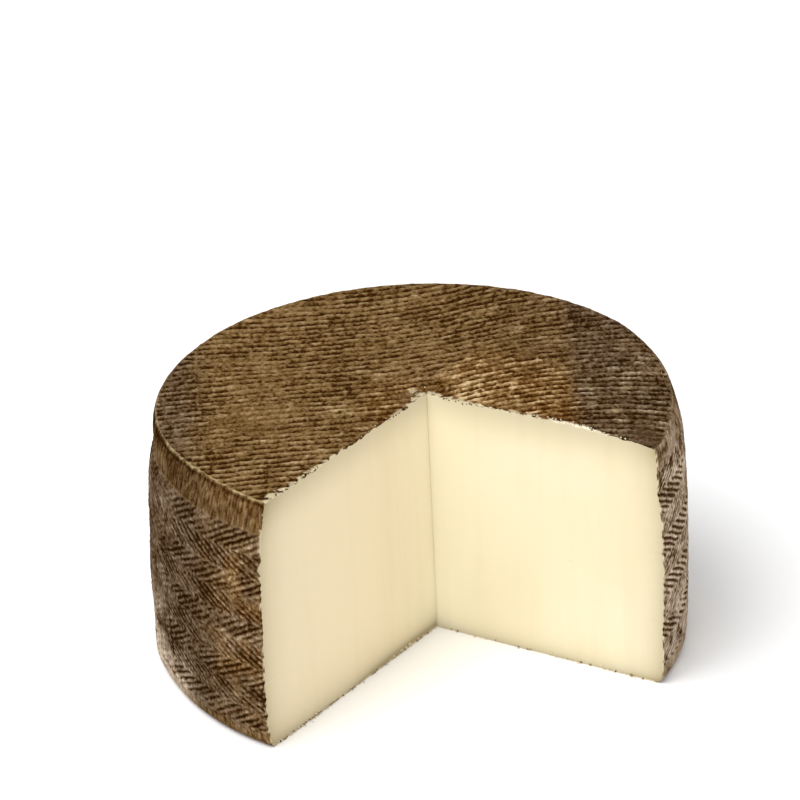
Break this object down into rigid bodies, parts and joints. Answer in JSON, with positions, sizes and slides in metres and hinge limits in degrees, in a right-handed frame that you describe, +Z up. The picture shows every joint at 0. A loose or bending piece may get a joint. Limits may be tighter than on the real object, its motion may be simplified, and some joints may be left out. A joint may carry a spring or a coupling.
{
  "type": "cut cheese wheel",
  "caption": "Hard cheese wheel with a wedge cut out: dark rind with a plaited side and ribbed ends, and pale paste on two flat cut faces.",
  "frame": {"origin": "centre of the wheel's base, on its axis", "axes": "+Z up along the wheel's axis; the cut takes out the sector between about -92 degrees and +3 degrees, counted from +X towards +Y, so it is open towards +X and -Y"},
  "size_m": [0.1994, 0.1999, 0.0994],
  "materials": {
    "rind": "dry brown rind, matte, darker in the grooves",
    "paste": "pale ivory cheese paste, smooth knife cut, faintly waxy"
  },
  "bodies": {
    "root": {"cheese": "rind"}
  },
  "joints": []
}
